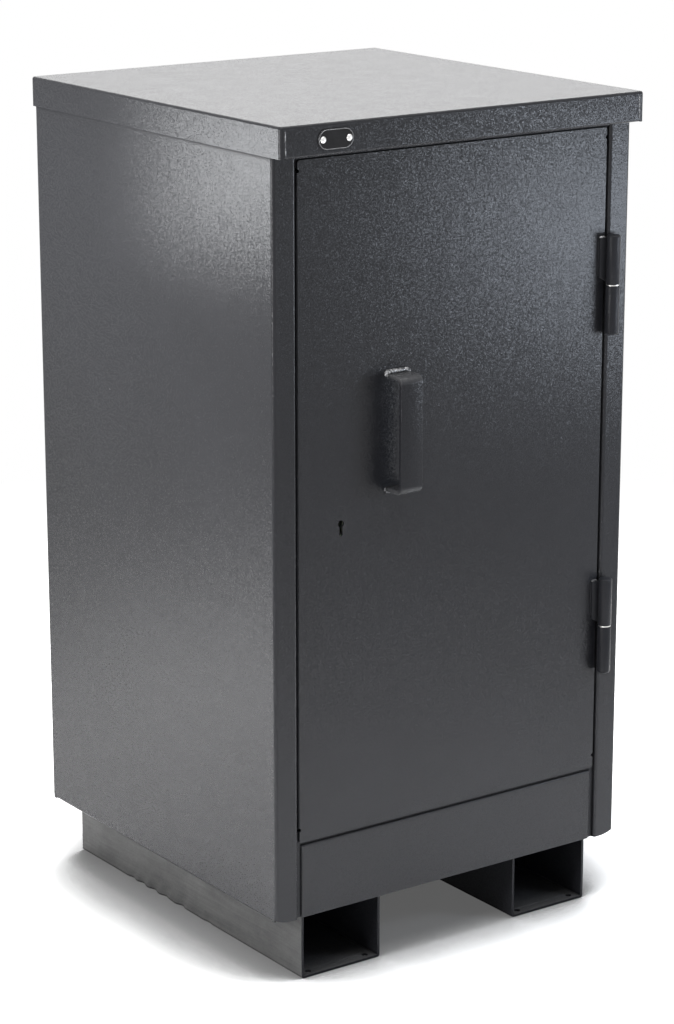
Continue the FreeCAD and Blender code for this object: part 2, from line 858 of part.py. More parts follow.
def build():
    """Every piece by its name."""
    right_skid = skid()
    pieces = {
        "cap_lid": cap_lid(),
        "key_tag": key_tag(),
        "key_tag_rivets": Part.makeCompound([tag_rivet(x) for x in rivet_places()]),
        "left_side_panel": left_side_panel(),
        "right_side_panel": side_panel(),
        "back_panel": back_panel(),
        "floor_panel": floor_panel(),
        "header_panel": header_panel(),
        "plinth_panel": plinth_panel(),
        "left_skid": mirrored(right_skid),
        "right_skid": right_skid,
        "door_skin": door_skin(),
        "door_handle": door_handle(),
        "lock_case": lock_case(),
        "lock_cap": lock_cap(),
        "lock_nuts": lock_nuts(),
        "lock_bolt": lock_bolt(),
        "bolt_keep": bolt_keep(),
    }
    for place, top in (("upper", upper_shelf_top), ("lower", lower_shelf_top)):
        support = shelf_support(top)
        pieces[place + "_shelf"] = shelf(top)
        pieces[place + "_right_shelf_support"] = support
        pieces[place + "_left_shelf_support"] = mirrored(support)
    for place, seam in hinge_seams.items():
        pieces[place + "_door_stiffener"] = door_stiffener(seam)
        pieces[place + "_hinge_door_half"] = hinge_door_half(seam)
        pieces[place + "_hinge_frame_half"] = hinge_frame_half(seam)
        pieces[place + "_hinge_pin"] = hinge_pin(seam)
        pieces[place + "_hinge_washer"] = hinge_washer(seam)
    return pieces


os.makedirs("parts", exist_ok=True)
for name, shape in build().items():
    shape.exportStep("parts/" + name + ".step")
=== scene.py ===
"""The looks of a steel site storage cabinet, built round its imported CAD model."""
import json
import math
import random
from collections import namedtuple

import bmesh
import bpy
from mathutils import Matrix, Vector


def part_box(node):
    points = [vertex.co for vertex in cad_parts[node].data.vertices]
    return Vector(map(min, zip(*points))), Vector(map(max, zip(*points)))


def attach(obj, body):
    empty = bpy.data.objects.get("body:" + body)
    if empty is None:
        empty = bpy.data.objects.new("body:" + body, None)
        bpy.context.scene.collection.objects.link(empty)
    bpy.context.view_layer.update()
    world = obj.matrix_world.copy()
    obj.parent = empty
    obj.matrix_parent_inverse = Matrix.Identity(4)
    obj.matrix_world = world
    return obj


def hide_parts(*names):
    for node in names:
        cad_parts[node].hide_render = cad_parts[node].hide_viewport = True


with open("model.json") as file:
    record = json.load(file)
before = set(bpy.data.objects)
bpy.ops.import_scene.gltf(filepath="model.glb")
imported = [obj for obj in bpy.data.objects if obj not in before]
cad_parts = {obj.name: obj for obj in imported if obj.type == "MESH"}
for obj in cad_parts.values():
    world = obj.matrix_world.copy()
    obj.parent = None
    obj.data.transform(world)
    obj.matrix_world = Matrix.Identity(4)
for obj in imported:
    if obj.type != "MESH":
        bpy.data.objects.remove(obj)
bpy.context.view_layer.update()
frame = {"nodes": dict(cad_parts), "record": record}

Corner = namedtuple("Corner", "x y z")


def to_micron(value):
    """A length without the noise of single precision."""
    return round(value, 6)


def box(node):
    """A node's lowest and highest corners at rest, in metres."""
    return [Corner(*(to_micron(value) for value in corner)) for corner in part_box(node)]


# camera, in the cabinet's own frame
camera_place = (-2.0237, -2.84745, 1.4292)
camera_azimuth = math.radians(-35.45)
camera_elevation = math.radians(15.38)
camera_lens = 106.4
sensor_long_side = 36.0
camera_nearest = 0.1
camera_furthest = 200.0

# lamps: name, place, aim, width and height, radiance of the face, colour
plain_light = (1.0, 1.0, 1.0)
cool_light = (0.80, 0.88, 1.0)
lamps = (
    ("CornerLeft", (-0.60, 0.26, 0.86), (-0.25, -0.2, 0.92), (0.22, 0.22), 12.0, (0.96, 0.98, 1.0)),
    ("LeftKey", (-1.30, -0.33, 0.78), (-0.25, -0.2, 0.60), (0.30, 0.50), 18.0, plain_light),
    ("LowBack", (-0.85, 0.50, 0.10), (-0.25, 0.0, 0.15), (0.60, 0.16), 2.2, plain_light),
    ("RightHigh", (0.78, -0.82, 0.78), (0.20, -0.2, 0.95), (0.20, 0.20), 3.0, cool_light),
    ("RightNear", (0.69, -0.84, 0.69), (0.15, -0.2, 0.85), (0.22, 0.22), 12.0, cool_light),
    ("RightSide", (1.10, -0.90, 0.62), (0.20, -0.2, 0.75), (0.36, 0.36), 5.5, cool_light),
    ("BackTop", (2.2, 3.2, 2.4), (0.0, 0.0, 0.95), (3.4, 2.0), 1.25, plain_light),
    ("Overhead", (0.0, -0.4, 4.5), (0.0, 0.0, 0.5), (4.0, 4.0), 3.4, plain_light),
)

# world and floor: levels where 1 is white, distances in metres
world_lit = 0.12
floor_lit = 0.72
floor_radius = 60.0
floor_drop = 0.0002
# painted shadow on the floor: its open share within shadow_reach sets how dark it is
shadow_reach = 0.20
shadow_from_open_share = (0.50, 0.89)
shadow_to_level = (0.28, 2.6)
floor_fades_between = (0.9, 2.0)
# share of white glow on the floor near the cabinet: painted light that lifts its shadow
near_floor_glow = 0.10

# paint: anthracite powder coat; cells are counted per metre
coat_colour = (0.025, 0.0257, 0.0300)
# grey of worn paint, also used as painted highlight on edges and on the handle's bends
worn_and_lit_coat_colour = (0.16, 0.16, 0.165)
# site dust, also painted light on the skids' lit outer faces
dust_and_light_colour = (0.20, 0.20, 0.197)
coat_roughness = 0.25
coat_specular = 0.24
grain_cells = 900.0
grain_depth = 0.00002
sparkle_cells = 1150.0
sparkle_tilt = 0.22
# edges are lightened by paint wear and by painted highlight that stands for light caught on rounded bends
lit_and_worn_edge_radius = 0.0012
edge_wear_and_highlight = 0.25
# gaps and corners are darkened within this reach as painted shade
corner_reach = 0.005

# bare metal: cells per metre of its grain along each axis
drawn_grain = (60.0, 60.0, 1400.0)
even_grain = (300.0, 300.0, 300.0)

# lid, in metres like all the sizes that follow
cap_low, cap_high = box("cap_lid")
cap_front_y = cap_low.y
cap_back_y = cap_high.y
cap_half_width = cap_high.x
cap_foot = cap_low.z
cap_top = cap_high.z
cap_seam_inset = 0.0066
cap_seam_radius = 0.0008

# door, stiles and stiffeners
door_face_y = box("door_skin")[0].y
stile_face_y = box("left_side_panel")[0].y
stiffener_low, stiffener_high = box("upper_door_stiffener")
panel_inside_y = stiffener_low.y
stiffener_half_height = to_micron((stiffener_high.z - stiffener_low.z) / 2)
stiffener_foot = 0.016
stiffener_sheet = 0.0015
spot_count = 9
spot_end_inset = 0.02
spot_pitch = to_micron((stiffener_high.x - stiffener_low.x - 2 * spot_end_inset) / (spot_count - 1))

# hinges: the barrels turn about a line at hinge_x and hinge_y, and their halves meet at the seams
hinge_door_low, hinge_door_high = box("upper_hinge_door_half")
hinge_frame_low, hinge_frame_high = box("upper_hinge_frame_half")
knuckle_radius = to_micron((hinge_door_high.x - hinge_frame_low.x) / 2)
knuckle_length = to_micron(hinge_door_high.z - hinge_door_low.z)
knuckle_round = 0.0022
knuckle_sides = 48
seam_half_gap = to_micron((hinge_door_low.z - hinge_frame_high.z) / 2)
hinge_seams = {
    place: to_micron(box(place + "_hinge_door_half")[0].z - seam_half_gap)
    for place in ("upper", "lower")}
hinge_x = to_micron((hinge_door_high.x + hinge_frame_low.x) / 2)
hinge_y = to_micron(hinge_frame_low.y + knuckle_radius)
leaf_reach = to_micron(hinge_x - hinge_door_low.x)
leaf_thickness = 0.004
leaf_toe = 0.008
leaf_end_inset = 0.004
leaf_clear = 0.0004
door_leaf_edge = hinge_x - leaf_reach
frame_leaf_edge = hinge_x + leaf_reach
joggle_inset = 0.003
joggle_x = to_micron(hinge_x - joggle_inset)
hinge_edge_round = 0.0007
hinge_bead_radius = 0.0013
hinge_top_bead_radius = 0.0020

# handle: a flat bar bent twice
handle_low, handle_high = box("door_handle")
handle_left = handle_low.x
handle_right = handle_high.x
handle_width = to_micron(handle_right - handle_left)
handle_foot = handle_low.z
handle_head = handle_high.z
handle_front_y = handle_low.y
handle_thickness = 0.005
handle_bend = 0.009
handle_bend_steps = 12
handle_edge_round = 0.0011
handle_top_bead_radius = 0.0031
handle_top_bead_pitch = 0.0042
handle_foot_bead_radius = 0.0020

# key tag
tag_rim_inset = 0.0008
tag_rim_radius = 0.00022
rivet_end_inset = 0.00575

# skids, floor and shelves
skid_low, skid_high = box("right_skid")
skid_outer = skid_high.x
skid_width = to_micron(skid_high.x - skid_low.x)
skid_front_y = skid_low.y
skid_back_y = skid_high.y
floor_underside = skid_high.z
skid_slice = 0.004
skid_slices_along = 120
skid_slices_up = 12
skid_stitch = 0.030
skid_stitch_gap = 0.112
skid_bead_radius = 0.0024
side_inside = box("upper_right_shelf_support")[1].x
support_feet = [box(level + "_right_shelf_support")[0].z for level in ("upper", "lower")]
shelf_low, shelf_high = box("upper_shelf")
support_stitch = 0.022
support_stitch_gap = 0.109
support_bead_radius = 0.0021
# grooves knocked into the left skid's outer wall: place along it at its foot, height, depth
skid_dents = ((0.140, 0.020, 0.0022), (0.118, 0.034, 0.0028), (0.092, 0.030, 0.0030),
              (0.066, 0.036, 0.0026), (0.030, 0.040, 0.0030), (-0.030, 0.026, 0.0012))
dent_lean = 0.75
dent_half_width = 0.0065
dent_widening = 0.10
dent_lip_half_width = 0.006
dent_lip_share = 0.35
right_skid_share = 0.6
# how far the skids' walls are from flat
skid_swell = 0.00035

# lock: its nuts stand on studs at two opposite corners
nuts_low, nuts_high = box("lock_nuts")
nut_back_y = nuts_low.y
nut_thickness = to_micron(nuts_high.y - nuts_low.y)
nut_across_flats = 0.008
nut_corner = nut_across_flats / math.sqrt(3)
nut_chamfer = 0.0004
nut_edge_round = 0.00015
stud_places = (
    (to_micron(nuts_low.x + nut_corner), to_micron(nuts_low.z + nut_across_flats / 2)),
    (to_micron(nuts_high.x - nut_corner), to_micron(nuts_high.z - nut_across_flats / 2)))
stud_radius = 0.0025
thread_pitch = 0.0005
thread_turns = 4
thread_root = 0.00002
thread_crest = 0.00028

# weld beads: sizes in metres
bead_step = 0.0006
bead_pitch = 0.0022
bead_sides = 10
# shares of the bead's radius, and how fast its width and line come back after a chance move
bead_ripple = 0.14
bead_width_jump = 0.05
bead_line_jump = 0.05
bead_width_return = 0.25
bead_line_return = 0.2
bead_end_length = 1.6
bead_smallest_end = 0.02


class Nodes:
    """A node tree, with short calls that add a node and fill or link its inputs."""

    def __init__(self, tree):
        self.tree = tree

    def fill(self, socket, value):
        if isinstance(value, bpy.types.NodeSocket):
            self.tree.links.new(value, socket)
        else:
            socket.default_value = value

    def add(self, kind, settings=None, inputs=None):
        node = self.tree.nodes.new(kind)
        for name, value in (settings or {}).items():
            setattr(node, name, value)
        for name, value in (inputs or {}).items():
            self.fill(node.inputs[name], value)
        return node

    def number(self, operation, a, b):
        """A number worked out from two numbers."""
        return self.add("ShaderNodeMath", {"operation": operation}, {0: a, 1: b}).outputs[0]

    def sum(self, a, b):
        return self.number("ADD", a, b)

    def product(self, a, b):
        return self.number("MULTIPLY", a, b)

    def vector(self, operation, *inputs, result="Vector"):
        """A vector, or a Value, worked out from vectors."""
        return self.add("ShaderNodeVectorMath", {"operation": operation},
                        dict(enumerate(inputs))).outputs[result]

    def axis(self, vector, name):
        """One axis of a vector."""
        return self.add("ShaderNodeSeparateXYZ", {}, {"Vector": vector}).outputs[name]

    def span(self, value, low, high, to_low=0.0, to_high=1.0, curve="LINEAR"):
        """The value, mapped from one range to another and held inside it."""
        return self.add("ShaderNodeMapRange", {"interpolation_type": curve}, {
            "Value": value, "From Min": low, "From Max": high,
            "To Min": to_low, "To Max": to_high}).outputs[0]

    def open_share(self, reach, samples):
        """How much of its surroundings a place sees past what stands within reach."""
        return self.add("ShaderNodeAmbientOcclusion", {"samples": samples}, {
            "Distance": reach}).outputs["AO"]

    def seen_by_eye(self):
        """1 for camera, glossy and transmission rays, 0 for the rays that only carry light."""
        path = self.add("ShaderNodeLightPath").outputs
        direct = self.number("MAXIMUM", path["Is Camera Ray"], path["Is Glossy Ray"])
        return self.number("MAXIMUM", direct, path["Is Transmission Ray"])

    def mixed(self, share, first, second):
        """A shader between two shaders."""
        return self.add("ShaderNodeMixShader", {}, {0: share, 1: first, 2: second}).outputs[0]


class Surface(Nodes):
    """One material's nodes, round its Principled shader."""

    def __init__(self, name):
        self.material = bpy.data.materials.new(name)
        self.material.use_nodes = True
        super().__init__(self.material.node_tree)
        self.shader = self.tree.nodes["Principled BSDF"]
        coordinates = self.add("ShaderNodeTexCoord").outputs
        self.place = coordinates["Object"]
        self.facing = coordinates["Normal"]

    def noise(self, scale, detail=2.0, roughness=0.5, place=None):
        """Cloudy noise; scale is in cells per metre."""
        return self.add("ShaderNodeTexNoise", {}, {
            "Vector": place or self.place, "Scale": scale, "Detail": detail,
            "Roughness": roughness}).outputs["Fac"]

    def streaks(self, cells, detail=3.0, roughness=0.6):
        """Noise with its own number of cells per metre along each axis."""
        return self.noise(1.0, detail, roughness, self.vector("MULTIPLY", self.place, cells))

    def cell_colours(self, scale):
        """A random colour in each cell; scale is in cells per metre."""
        return self.add("ShaderNodeTexVoronoi", {}, {
            "Vector": self.place, "Scale": scale}).outputs["Color"]

    def blend(self, share, first, second):
        """A colour between two colours, by the numbers of the node's colour sockets."""
        node = self.add("ShaderNodeMix", {"data_type": "RGBA"}, {0: share})
        for socket, colour in ((6, first), (7, second)):
            self.fill(node.inputs[socket], (*colour, 1) if isinstance(colour, tuple) else colour)
        return node.outputs[2]

    def edges(self, radius):
        """1 on the sharp edges, 0 on the open faces."""
        soft = self.add("ShaderNodeBevel", {"samples": 4}, {"Radius": radius}).outputs[0]
        flat = self.add("ShaderNodeNewGeometry").outputs["Normal"]
        return self.span(self.vector("DOT_PRODUCT", soft, flat, result="Value"), 0.98, 0.75)

    def crevices(self, reach):
        """1 deep in a gap or corner, 0 on the open faces."""
        return self.span(self.open_share(reach, 6), 0.97, 0.62)

    def near(self, centre, reach):
        """1 at a place, fading to 0 at its reach on each axis."""
        away = self.vector("DIVIDE", self.vector("SUBTRACT", self.place, centre), reach)
        return self.span(self.vector("LENGTH", away, result="Value"), 1.0, 0.2)

    def facets(self, scale, tilt, under):
        """A normal tilted its own way in each small cell of the surface."""
        lean = self.vector("SUBTRACT", self.cell_colours(scale), (0.5, 0.5, 0.5))
        lean = self.vector("MULTIPLY", lean, (tilt, tilt, tilt))
        return self.vector("NORMALIZE", self.vector("ADD", lean, under))

    def bump(self, height, depth, strength=1.0, under=None):
        """A normal from a height that stands for a depth in metres."""
        node = self.add("ShaderNodeBump", {}, {
            "Strength": strength, "Distance": depth, "Height": height})
        if under is not None:
            self.fill(node.inputs["Normal"], under)
        return node.outputs["Normal"]

    def finish(self, **values):
        """Fills the shader's own sockets; a name's underscores stand for blanks."""
        for name, value in values.items():
            self.fill(self.shader.inputs[name.replace("_", " ")], value)
        return self.material


def tinted(colour, share):
    """A colour made darker or lighter, held at white."""
    return tuple(min(1.0, value * share) for value in colour)


def powder_coat(name, roughness=coat_roughness, specular=coat_specular, corner_shade=1.0,
                marks=None, dust=None):
    """Textured anthracite paint: fine grain, bright wear and painted highlight on edges, painted shade in
    corners.
    """
    g = Surface(name)
    clouds = g.noise(5.0, 4.0, 0.6)
    drift = g.noise(38.0, 3.0, 0.55)
    mottled = g.blend(g.span(clouds, 0.3, 0.7), tinted(coat_colour, 0.92), tinted(coat_colour, 1.08))
    # edges lightened by wear and by painted highlight
    rubbed_and_lit = g.span(g.noise(60.0, 5.0, 0.7), 0.42, 0.7, 0.0, edge_wear_and_highlight)
    painted = g.blend(g.product(g.edges(lit_and_worn_edge_radius), rubbed_and_lit), mottled, worn_and_lit_coat_colour)
    if marks is not None:
        painted = g.blend(marks(g), painted, worn_and_lit_coat_colour)
    # the skids' dust is also painted light on their lit faces
    if dust is not None:
        painted = g.blend(dust(g), painted, dust_and_light_colour)
    # painted shade: the colour is darkened deep in gaps and corners, as much as corner_shade allows
    corners = g.product(g.crevices(corner_reach), corner_shade)
    painted = g.blend(g.product(corners, 0.7), painted, tinted(coat_colour, 0.25))
    gloss = g.sum(g.span(drift, 0.3, 0.7, roughness - 0.01, roughness + 0.015), g.product(corners, 0.6))
    grain = g.bump(g.noise(grain_cells, 2.0, 0.6), grain_depth)
    return g.finish(Base_Color=painted, Roughness=gloss, Specular_IOR_Level=specular,
                    Normal=g.facets(sparkle_cells, sparkle_tilt, grain))


def skid_dust_and_light(g):
    """Site dust with long drag marks on the skids' outer walls and the front of their soles, also painted
    light: it lightens the lit outer faces while the shaded inner walls stay dark.
    """
    film = g.span(g.noise(26.0, 5.0, 0.65), 0.25, 0.75, 0.55, 0.95)
    drags = g.span(g.streaks((300.0, 9.0, 300.0), 4.0, 0.7), 0.35, 0.75, 0.75, 1.1)
    outward = g.axis(g.vector("MULTIPLY", g.facing, g.place), "X")
    walls = g.span(outward, 0.12, 0.18)
    upward = g.span(g.axis(g.facing, "Z"), 0.5, 0.9)
    forward = g.span(g.axis(g.place, "Y"), -0.08, skid_front_y, 0.05, 0.45)
    return g.product(g.product(film, drags), g.sum(walls, g.product(upward, forward)))


def door_scuffs(g):
    """Faint rubs where hands and keys touch, left of the handle and round the keyhole."""
    beside_handle = (handle_left - 0.011, door_face_y, handle_head - 0.049)
    round_keyhole = (-0.157, door_face_y, 0.525)
    strokes = g.span(g.streaks((260.0, 260.0, 34.0), 4.0, 0.7), 0.52, 0.72)
    rubs = g.sum(g.near(beside_handle, (0.020, 0.02, 0.045)), g.near(round_keyhole, (0.014, 0.02, 0.022)))
    return g.product(g.product(strokes, rubs), 0.22)


def handle_rubs_and_highlights(g):
    """Paint worn grey and lightened as painted highlight at the handle's two bends and along its top leg.
    """
    height = g.axis(g.place, "Z")
    top = g.span(height, handle_head - 0.009, handle_head - 0.001, 0.0, 0.70)
    foot = g.span(height, handle_foot + 0.010, handle_foot + 0.001, 0.0, 0.55)
    patches = g.span(g.noise(150.0, 4.0, 0.65), 0.25, 0.65, 0.6, 1.0)
    return g.product(g.sum(top, foot), patches)


def cap_dressing(g):
    """The upright strokes that dressing leaves on the lid's flanges near its left front corner."""
    strokes = g.span(g.streaks((210.0, 210.0, 12.0)), 0.45, 0.75)
    corner = g.near((-cap_half_width, -0.205, 0.963), (0.03, 0.05, 0.03))
    return g.product(g.product(strokes, corner), 0.16)


def steel(name, colour, roughness, grain):
    """Bare or plated steel with a grain, stains and small pits."""
    g = Surface(name)
    drawn = g.streaks(grain)
    stains = g.noise(55.0, 4.0, 0.6)
    shaded = g.blend(g.span(stains, 0.35, 0.7), tinted(colour, 0.72), colour)
    edged = g.blend(g.product(g.edges(0.0006), 0.6), shaded, tinted(colour, 1.35))
    gloss = g.sum(g.span(stains, 0.3, 0.7, roughness + 0.10, roughness - 0.04),
                  g.span(drawn, 0.3, 0.7, -0.05, 0.07))
    pits = g.bump(g.noise(420.0), 0.00005, 0.25)
    return g.finish(Base_Color=edged, Roughness=gloss, Normal=g.bump(drawn, 0.00003, 0.6, pits),
                    Metallic=1.0)


def tag_face(name):
    """A black anodised plate: dark and glossy, with faint rolling lines and fine scratches."""
    g = Surface(name)
    lines = g.streaks((40.0, 40.0, 1600.0))
    scratches = g.span(g.streaks((60.0, 60.0, 900.0), 5.0, 0.8), 0.66, 0.72)
    shade = g.blend(g.span(g.noise(70.0, 3.0), 0.3, 0.7), (0.012, 0.012, 0.013), (0.022, 0.022, 0.024))
    scratched = g.blend(g.product(scratches, 0.3), shade, (0.20, 0.20, 0.21))
    edged = g.blend(g.edges(0.0005), scratched, (0.55, 0.55, 0.56))
    gloss = g.span(lines, 0.3, 0.7, 0.16, 0.28)
    return g.finish(Base_Color=edged, Roughness=gloss, Normal=g.bump(lines, 0.00001, 0.5),
                    Specular_IOR_Level=0.2)


def weld_metal(name):
    """A painted weld with light grey spots on its crests."""
    g = Surface(name)
    crests = g.product(g.span(g.noise(420.0, 4.0, 0.7), 0.40, 0.62),
                       g.span(g.noise(70.0), 0.40, 0.60, 0.15, 1.0))
    colour = g.blend(crests, tinted(coat_colour, 1.3), (0.62, 0.62, 0.63))
    gloss = g.span(g.noise(300.0, 3.0, 0.6), 0.3, 0.7, 0.24, 0.46)
    normal = g.bump(g.noise(700.0, 3.0, 0.7), 0.0003, 0.6)
    return g.finish(Base_Color=colour, Roughness=gloss, Normal=normal, Metallic=0.35,
                    Specular_IOR_Level=0.6)


def zinc(name):
    """Passivated zinc plate: faint spangle and a slightly warm, cloudy tone."""
    g = Surface(name)
    clouds = g.noise(40.0, 4.0, 0.6)
    tone = g.blend(g.span(clouds, 0.3, 0.7), (0.43, 0.43, 0.40), (0.60, 0.60, 0.57))
    spangled = g.blend(0.12, tone, g.cell_colours(160.0))
    edged = g.blend(g.product(g.edges(0.0008), 0.5), spangled, (0.78, 0.78, 0.76))
    gloss = g.span(clouds, 0.3, 0.7, 0.42, 0.28)
    normal = g.bump(g.noise(500.0, 3.0), 0.00004, 0.4)
    return g.finish(Base_Color=edged, Roughness=gloss, Normal=normal, Metallic=0.9)


materials = {
    "powder_coat": powder_coat("PowderCoat"),
    "weld": weld_metal("WeldMetal"),
    "door_coat": powder_coat("DoorCoat", corner_shade=0.4, marks=door_scuffs),
    "handle_coat": powder_coat("HandleCoat", specular=0.18, marks=handle_rubs_and_highlights),
    "hinge_coat": powder_coat("HingeCoat", roughness=0.30, specular=0.12),
    "cap_coat": powder_coat("CapCoat", marks=cap_dressing),
    "skid_coat": powder_coat("SkidCoat", roughness=0.42, specular=0.15, dust=skid_dust_and_light),
    "tag_rim": steel("TagRim", (0.34, 0.34, 0.35), roughness=0.34, grain=even_grain),
    "zinc_plate": zinc("ZincPlate"),
    "bright_steel": steel("BrightSteel", (0.62, 0.61, 0.59), roughness=0.28, grain=drawn_grain),
    "tag_metal": tag_face("TagMetal"),
    "rivet_metal": steel("RivetMetal", (0.86, 0.86, 0.85), roughness=0.30, grain=even_grain),
}
# nodes with a version of the paint that is their own
own_coats = {"door_skin": "door_coat", "cap_lid": "cap_coat"}


def dress_nodes():
    """Gives every CAD node its own coat or the material of its slot."""
    for entry in frame["record"]["subparts"]:
        node = entry["node"]
        slots = frame["nodes"][node].data.materials
        slots.clear()
        slots.append(materials[own_coats.get(node, entry["material_slot"])])


def place_piece(name, mesh, material, body, replaced=()):
    """A mesh as a piece that rides on a body and may stand for CAD nodes."""
    mesh.materials.append(materials[material])
    piece = bpy.data.objects.new(name, mesh)
    bpy.context.scene.collection.objects.link(piece)
    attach(piece, body)
    if replaced:
        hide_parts(*replaced)
    return piece


def add_piece(name, form, material, body, replaced=(), smooth=True):
    """A new piece from a form, which is a list of points and a list of faces."""
    points, faces = form
    mesh = bpy.data.meshes.new(name)
    mesh.from_pydata(points, [], faces)
    mesh.validate()
    outward = bmesh.new()
    outward.from_mesh(mesh)
    bmesh.ops.recalc_face_normals(outward, faces=outward.faces)
    outward.to_mesh(mesh)
    outward.free()
    mesh.polygons.foreach_set("use_smooth", [smooth] * len(mesh.polygons))
    return place_piece(name, mesh, material, body, replaced)


def round_edges(piece, width, segments, angle):
    """A bevel on the edges sharper than an angle in degrees."""
    bevel = piece.modifiers.new("Rounded", "BEVEL")
    bevel.width = width
    bevel.segments = segments
    bevel.limit_method = "ANGLE"
    bevel.angle_limit = math.radians(angle)
    bevel.harden_normals = True


def ring(centre, across, other, radius, sides):
    """Points round a circle that lies along two directions."""
    angles = (2 * math.pi * j / sides for j in range(sides))
    return [centre + (across * math.cos(t) + other * math.sin(t)) * radius for t in angles]


def sewn(rings, capped=True):
    """The form of a skin over rings of equally many points."""
    count = len(rings[0])
    points = [point for one_ring in rings for point in one_ring]
    faces = []
    for i in range(len(rings) - 1):
        for j in range(count):
            k = (j + 1) % count
            faces.append((i * count + j, i * count + k, (i + 1) * count + k, (i + 1) * count + j))
    if capped:
        faces.append(tuple(range(count))[::-1])
        faces.append(tuple(range(len(points) - count, len(points))))
    return points, faces


def merged(*forms):
    """Several forms as one."""
    points = []
    faces = []
    for more_points, more_faces in forms:
        start = len(points)
        points.extend(more_points)
        faces.extend(tuple(start + i for i in face) for face in more_faces)
    return points, faces


def walked(path, step):
    """Points along a path of straight runs, about a step apart."""
    places = []
    for start, end in zip(path, path[1:]):
        start, end = Vector(start), Vector(end)
        count = max(1, round((end - start).length / step))
        places.extend(start.lerp(end, i / count) for i in range(count))
    places.append(Vector(path[-1]))
    return places


def bead(path, radius, draw, pitch):
    """A weld bead along a path: overlapping ripples, an uneven width, and rounded ends."""
    places = walked(path, bead_step)
    rings = []
    run = 0.0
    total = sum((b - a).length for a, b in zip(places, places[1:]))
    wander = Vector((0, 0, 0))
    width = 1.0
    for i, place in enumerate(places):
        before = places[max(0, i - 1)]
        after = places[min(len(places) - 1, i + 1)]
        along = (after - before).normalized()
        if i:
            run += (place - before).length
        across = along.orthogonal().normalized()
        other = along.cross(across)
        width += bead_width_return * (1.0 - width) + draw.uniform(-bead_width_jump, bead_width_jump)
        jump = Vector([draw.uniform(-1, 1) for _ in range(3)]) * radius * bead_line_jump
        wander = wander * (1.0 - bead_line_return) + jump
        ripple = 1.0 - bead_ripple + bead_ripple * abs(math.sin(math.pi * run / pitch))
        end_gap = min(run, total - run) / (bead_end_length * radius)
        taper = math.sqrt(max(bead_smallest_end, 1.0 - (1.0 - min(1.0, end_gap)) ** 2))
        size = radius * width * ripple * taper
        rings.append(ring(place + wander, across, other, size, bead_sides))
    return sewn(rings)


def add_beads(name, paths, radius, body, seed, pitch=bead_pitch, material="weld"):
    """One piece of weld beads."""
    draw = random.Random(seed)
    form = merged(*[bead(path, radius, draw, pitch) for path in paths])
    return add_piece(name, form, material, body)


def turned(profile, centre, axis, sides):
    """A profile of (distance along the axis, radius) pairs, turned about the axis."""
    smallest_ring = 0.00002
    axis = Vector(axis).normalized()
    across = axis.orthogonal().normalized()
    other = axis.cross(across)
    return sewn([
        ring(Vector(centre) + axis * along, across, other, max(radius, smallest_ring), sides)
        for along, radius in profile])


def quarter_round(centre_along, centre_radius, radius, steps):
    """Profile points on a quarter circle, from straight out to along the axis."""
    angles = (math.radians(90 - 90 * i / steps) for i in range(steps + 1))
    return [(centre_along + radius * math.cos(t), centre_radius + radius * math.sin(t)) for t in angles]


def knuckle(base, up):
    """Half a hinge barrel, rounded at its far end, with a small break at the seam."""
    profile = [(0.0, 0.0), (0.0, knuckle_radius - 0.0006), (0.0003, knuckle_radius - 0.0002),
               (0.0007, knuckle_radius)]
    profile += quarter_round(knuckle_length - knuckle_round, knuckle_radius - knuckle_round,
                             knuckle_round, steps=6)
    profile += [(knuckle_length, 0.0)]
    return turned(profile, (hinge_x, hinge_y, base), (0, 0, up), knuckle_sides)


def leaf(stations, base, up):
    """A hinge leaf through stations of (x, back y, front y, level of its seam end above the base)."""
    end = base + up * (knuckle_length - leaf_end_inset)
    rings = []
    for x, back, front, toe in stations:
        low = base + up * toe
        rings.append([Vector((x, back, low)), Vector((x, back, end)),
                      Vector((x, front, end)), Vector((x, front, low))])
    return sewn(rings)


def make_hinge_halves(place, door_base, frame_base):
    """Smooth hinge halves in place of the plain solids."""
    barrel_back = hinge_y + knuckle_radius
    joggle_toe = leaf_toe / leaf_reach * (hinge_x - joggle_x)
    door_leaf = leaf(
        [(hinge_x, barrel_back, barrel_back - leaf_thickness, leaf_clear),
         (joggle_x, door_face_y, barrel_back - leaf_thickness * 0.88, joggle_toe),
         (door_leaf_edge, door_face_y, door_face_y - leaf_thickness, leaf_toe)], door_base, 1)
    frame_leaf = leaf(
        [(hinge_x, stile_face_y, stile_face_y - leaf_thickness, leaf_clear),
         (frame_leaf_edge, stile_face_y, stile_face_y - leaf_thickness, leaf_toe)], frame_base, -1)
    for half, body, form in (
            ("door", "door", merged(knuckle(door_base, 1), door_leaf)),
            ("frame", "carcass", merged(knuckle(frame_base, -1), frame_leaf))):
        node = f"{place}_hinge_{half}_half"
        piece = add_piece(node + "_rounded", form, "hinge_coat", body, [node])
        round_edges(piece, hinge_edge_round, segments=2, angle=50.0)


